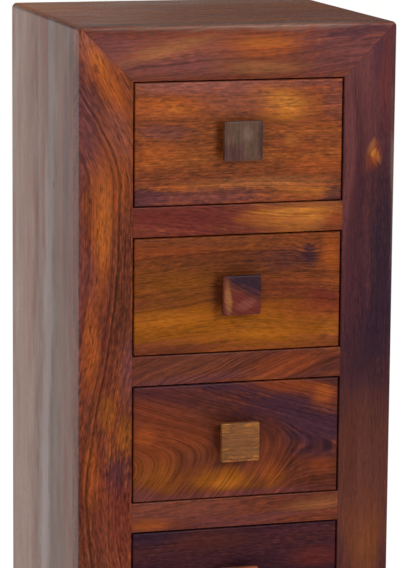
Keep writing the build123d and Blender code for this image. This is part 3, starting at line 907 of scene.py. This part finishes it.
def frame_board(name, side, seed):
    """One board of the face frame as rings of points."""
    inner_length = side_length(side) - 2 * FRAME_WIDTH
    on_stile = side in ("left", "right")
    marks = [level - FRAME_WIDTH for opening in OPENINGS for level in opening] if on_stile else []
    steps = steps_along(inner_length, marks)
    steps = steps[(steps >= 0) & (steps <= inner_length)]
    outer = FRONT_ARRIS * (1 + HAND * (1 + np.sin(23 * steps + seed)))
    inner = opening_radius(steps + FRAME_WIDTH) if on_stile else np.full_like(steps, OPENING_ARRIS)
    inset, y = front_section(FRAME_WIDTH, outer, inner)
    inset, y = ease_ends(rows_of(inset, 0.0), rows_of(y, FRAME_BACK), np.minimum(steps, inner_length - steps),
                         FRAME_WIDTH, FRONT, FRAME_BACK)
    rings = mitred_board(side, inset, y, steps / inner_length)
    plane_face(rings, seed)
    piece_from_rings(name, rings, "case", frame_wood[name])


for name, side, seed in (("stile_left", "left", 1), ("stile_right", "right", 2),
                         ("top_rail", "top", 3), ("bottom_rail", "bottom", 4)):
    frame_board(name, side, seed)

# %% [markdown]
# ## The boards behind the frame
#
# A side board is a plain section with a step at the back, the rebate that the thin back panel lies in. It
# meets the face frame along a joint that shows as a fine line round the case.

# %% The section of a case board, and the four boards
GROOVE = 0.6 * MM
SIDE_ROWS = 30


def board_section(rows):
    """(inset, y) of a case board's section: outer face, broken rear edge, rebate and inner face."""
    outer_y = np.concatenate([[FRAME_BACK, FRAME_BACK + GROOVE],
                              np.linspace(FRAME_BACK + 2 * GROOVE, BACK - BACK_EDGE, SIDE_ROWS)])
    step = BOARD - REBATE
    inset = np.concatenate([np.zeros_like(outer_y), [BACK_EDGE, step, step, BOARD, BOARD]])
    y = np.concatenate([outer_y, [BACK, BACK, PANEL_Y, PANEL_Y, FRAME_BACK]])
    return np.tile(inset, (rows, 1)), np.tile(y, (rows, 1))


def case_board(name, side):
    """One board of the case as rings of points."""
    length = side_length(side) - 2 * BOARD
    steps = steps_along(length)
    inset, y = board_section(len(steps))
    inset, y = ease_ends(inset, y, np.minimum(steps, length - steps), BOARD, FRAME_BACK, BACK)
    at_joint = np.isclose(y, FRAME_BACK) & (inset < BOARD / 2)
    inset = np.where(at_joint, np.maximum(inset, EASE / 2), inset)
    rings = mitred_board(side, inset, y, steps / length)
    piece_from_rings(name, rings, "case", case_wood[name])


for name, side in (("side_board_left", "left"), ("side_board_right", "right"),
                   ("top_board", "top"), ("bottom_board", "bottom")):
    case_board(name, side)

# %% [markdown]
# ## Divider rails
#
# Between the drawers a rail joins the stiles. Both its front edges are broken by sanding, and at each end it
# draws in a little, so its joint with the stile shows as a fine upright line.

# %% The four divider rails
def divider(number, low, high, wood):
    """A rail as rings of (y, z) points, carried from stile to stile."""
    reach = HALF_WIDTH - FRAME_WIDTH
    steps = steps_along(2 * reach)
    height = high.z - low.z
    radius = np.full_like(steps, OPENING_ARRIS)
    up, y = front_section(height, radius, radius)
    up, y = ease_ends(up, y, np.minimum(steps, 2 * reach - steps), height, FRONT, FRAME_BACK)
    x = np.broadcast_to((steps - reach)[:, None], y.shape)
    rings = np.stack([x, y, up + low.z], axis=-1)
    plane_face(rings, number + 6)
    piece_from_rings(f"divider_rail_{number}", rings, "case", wood)


for number, ((low, high), wood) in enumerate(zip(dividers, divider_wood), 1):
    divider(number, low, high, wood)

# %% [markdown]
# ## Knobs
#
# A knob is a square block with softened edges. Behind its flat face it tapers to a smaller square neck. The
# surface is a rounded square that grows from the middle of the face to its rim, turns the edge, goes straight
# back and then shrinks to the neck. Each knob's corners are sanded by hand, so each has its own roundness,
# and the blocks were cut from leftovers, so no two have the same wood.

# %% Wood of the knobs
knob_wood = [
    rosewood("knob_1", "tall", 0.3, 41, contrast=0.5, wander=5, spacing=4, zones=[
        # Knob 1 is darker in a thin strip along the right edge of its face.
        ("grey", 0.95, 657, 0, 40, 34), ("plum", 0.6, 646, -8, 10, 12), ("night", 0.6, 656, 17, 22, 4),
        ("sap_and_sheen", 0.3, 664, 4, 8, 5)]),
    rosewood("knob_2", "wide", 0.3, 42, tilt=-30, contrast=0.6, wander=5, spacing=5, zones=[
        ("red", 0.8, 4, 506, 26, 14, -25), ("night", 0.95, 7, 527, 26, 12, -22),
        ("tan", 0.85, -13.5, 514, 15, 3.5, -86), ("rose", 0.5, 4, 507, 10, 5, 20)]),
    rosewood("knob_3", "wide", 0.9, 43, contrast=0.7, wander=4, spacing=3.0,
        zones=[("sand", 0.95, 0, 379, 40, 34), ("tan", 0.3, 4, 388, 16, 6)]),
    rosewood("knob_4", "wide", 0.7, 44, contrast=0.5, wander=5, spacing=4,
        zones=[("rose", 0.95, 0, 242, 40, 34)]),
    rosewood("knob_5", "wide", 0.5, 45, contrast=0.7, wander=5, spacing=4),
]
print("knobs:", len(knob_wood))

# %% A square with rounded corners
def rounded_square(half, corner, turn):
    """Points round a square of half size, with corners of a radius. Each point lies on the ray at its turn,
    where the outline crosses it: on a flat side at half / cos, and in a corner at
    c cos + sqrt(r^2 - c^2 sin^2), with c the distance of the corner's centre."""
    quarter = (turn + np.pi / 4) % (np.pi / 2) - np.pi / 4
    flat = half / np.cos(quarter)
    centre = (half - corner) * math.sqrt(2)
    off = np.abs(quarter) - np.pi / 4
    under = corner ** 2 - (centre * np.sin(off)) ** 2
    in_corner = np.abs(np.tan(quarter)) * half > half - corner
    reach = np.where(in_corner, centre * np.cos(off) + np.sqrt(np.maximum(under, 0)), flat)
    return reach * np.cos(turn), reach * np.sin(turn)


corner_point = rounded_square(18, 1.5, np.pi / 4)
print("corner of a 36 mm square, rounded by 1.5 mm:", [round(float(v), 2) for v in corner_point])

# %% The five knobs
KNOB_EDGE = 1.1 * MM
KNOB_STRAIGHT = 5 * MM
KNOB_NECK = 26 * MM
KNOB_CROWN = 0.18 * MM
KNOB_SANDING = (1.5 * MM, 0.5 * MM, 0.3 * MM)
KNOB_POINTS = 128
FACE_RINGS, EDGE_RINGS, TAPER_RINGS = 12, 7, 9


def knob(number, wood):
    """A square knob as rings from the middle of its face to its neck. The corners' radius is
    even + once sin(turn + number) + thrice sin(3 turn + 2 number), and the face falls off towards its rim by
    the square of the distance."""
    low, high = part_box(f"drawer_{number}_knob")
    middle = (low + high) / 2
    half = (high.x - low.x) / 2
    bend = np.linspace(0, np.pi / 2, EDGE_RINGS)
    face = np.linspace(0.04, 1, FACE_RINGS)[:-1] * (half - KNOB_EDGE)
    size = np.concatenate([face, half - KNOB_EDGE * (1 - np.sin(bend)), [half],
                           np.linspace(half, KNOB_NECK / 2, TAPER_RINGS)])
    depth = np.concatenate([np.zeros_like(face), KNOB_EDGE * (1 - np.cos(bend)), [KNOB_STRAIGHT],
                            np.linspace(KNOB_STRAIGHT + 0.2 * MM, high.y - low.y, TAPER_RINGS)])
    turn = np.linspace(0, 2 * np.pi, KNOB_POINTS, endpoint=False) + np.pi / KNOB_POINTS
    even, once, thrice = KNOB_SANDING
    sanded = even + once * np.sin(turn + number) + thrice * np.sin(3 * turn + 2 * number)
    corner = np.minimum(sanded[None, :], 0.6 * size[:, None])
    x, z = rounded_square(size[:, None], corner, turn[None, :])
    crown = KNOB_CROWN * (x ** 2 + z ** 2) / half ** 2 * (depth[:, None] < KNOB_EDGE)
    y = np.minimum(low.y + depth[:, None] + crown, high.y)
    rings = np.stack([middle.x + x, y, middle.z + z], axis=-1)
    piece_from_rings(f"drawer_{number}_knob", rings, f"drawer_{number}", wood)


for number, wood in zip(DRAWERS, knob_wood):
    knob(number, wood)

# %% [markdown]
# ## Inside the chest
#
# Drawer sides, runners and kickers are of a plain pale hardwood, sanded but not polished. The drawer bottoms
# and the back are thin plywood, whose veneer is peeled off the log like paper off a roll, so that its layers
# spread into flames. The screws are zinc-plated steel.

# %% Plain woods
GRAIN_DEPTH = 0.1 * MM


def plain_wood(name, grain, tint, seed, wander=8.0, spacing=9.0):
    """A pale, even wood with faint bands, fibres and small dark flecks. A peeled veneer has a large wander:
    its layers sway so far that they close into flames."""
    material, tree = new_material(name)
    flat, where, across = fibre_place(tree, grain, 1.0, wander, seed)
    flecks = stretched_noise(tree, flat, (4, 0.3, 0.3), seed + 5, 1.0)
    patterns = {
        "middle": bands(tree, across, spacing, seed),
        "fibres": stretched_noise(tree, where, (18, 0.9, 0.9), seed + 3, 3.0, 0.6),
        "flecks": soft_step(tree, flecks, 0.15, 0.22),
    }
    light = add_up(tree, 1.0, patterns, {"middle": 0.35, "fibres": 0.3, "flecks": -0.2})
    bump = node(tree, "Bump", {
        "Strength": 0.3, "Distance": GRAIN_DEPTH, "Height": patterns["fibres"],
    }).outputs[0]
    surface_of(tree, node(tree, "BsdfPrincipled", {
        "Base Color": shaded(tree, linear(*TINTS[tint]), light),
        "Roughness": add_up(tree, 0.62, patterns, {"fibres": 0.2}),
        "Specular IOR Level": 0.3, "Normal": bump,
    }))
    return material


print("fibres of the plain woods are", round(GRAIN_DEPTH / MM, 2), "mm deep")

# %% Steel of the screws
MARK_DENSITY = 1800.0


def steel(name):
    """Zinc-plated steel: grey, shiny, with fine turning marks."""
    material, tree = new_material(name)
    place = node(tree, "TexCoord").outputs["Object"]
    marks = node(tree, "TexNoise", {"Vector": place, "Scale": MARK_DENSITY, "Detail": 2.0}).outputs[0]
    surface_of(tree, node(tree, "BsdfPrincipled", {
        "Base Color": linear(176, 172, 160), "Metallic": 1.0,
        "Roughness": maths(tree, "MULTIPLY_ADD", marks, 0.3, 0.2),
    }))
    return material


print("turning marks of the screws are about", round(1 / MARK_DENSITY / MM, 1), "mm wide")

# %% Dress the hidden pieces by a word in their names, of which the last that fits counts
side_wood = plain_wood("hardwood_deep", "deep", "pale", 51)
FINISHES = {
    "runner": side_wood, "top_kickers": side_wood, "_side_": side_wood,
    "_rear": plain_wood("hardwood_wide", "wide", "pale", 52),
    "_bottom": plain_wood("plywood_bottom", "wide_top", "birch", 53, 60.0, 14.0),
    "back_panel": plain_wood("plywood_back", "tall", "birch", 54, 80.0, 16.0),
    "screw": steel("zinc_steel"),
}
for name, made in NODES.items():
    for word, finish in FINISHES.items():
        if word in name:
            made.material_slots[0].material = finish
print("hidden pieces:", sum(any(word in name for word in FINISHES) for name in NODES))

# %% [markdown]
# ## Finish
#
# The new surfaces must not reach outside the solid chest. At the end the scene is brought up to date.

# %% Bring the scene up to date
bpy.context.view_layer.update()
